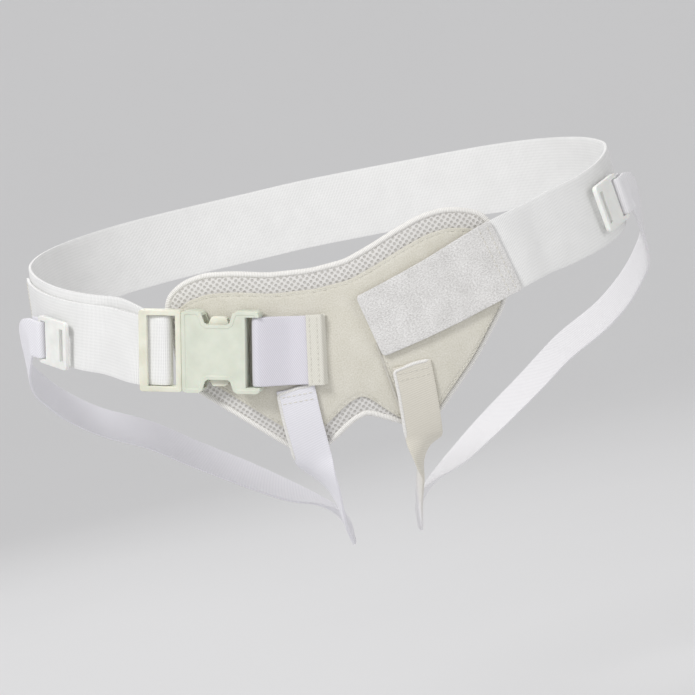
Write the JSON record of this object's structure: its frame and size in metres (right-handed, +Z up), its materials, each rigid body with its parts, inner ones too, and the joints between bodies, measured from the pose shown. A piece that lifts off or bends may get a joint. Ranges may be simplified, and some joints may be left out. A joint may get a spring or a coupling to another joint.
{
  "type": "hernia belt",
  "caption": "Elastic belt round the hips with a padded front panel, a side-release buckle, a self-gripping strap and leg straps, in its worn form.",
  "frame": {"origin": "centre of the hips, level with the belt where it crosses the two sides", "axes": "+Z up, the front faces -Y, and the wearer's left is +X"},
  "size_m": [0.352, 0.241, 0.2072],
  "materials": {
    "elastic": "matte ribbed knit",
    "panel_mesh": "perforated padded mesh",
    "pile": "short soft pile",
    "binding": "smooth woven edging",
    "grip": "fine brushed pile",
    "buckle": "satin moulded",
    "webbing": "fine woven",
    "strap": "fine ribbed elastic",
    "clip": "moulded, slightly glossy"
  },
  "bodies": {
    "root": {"front_panel": "panel_mesh", "panel_facing": "pile", "panel_flap": "pile", "panel_binding": "binding", "grip_strap": "grip", "hip_belt": "elastic", "buckle_socket": "buckle", "buckle_plug": "buckle", "buckle_tab": "webbing", "leg_strap_right": "strap", "leg_strap_left": "strap", "strap_clip_right": "clip", "strap_clip_left": "clip"}
  },
  "joints": []
}
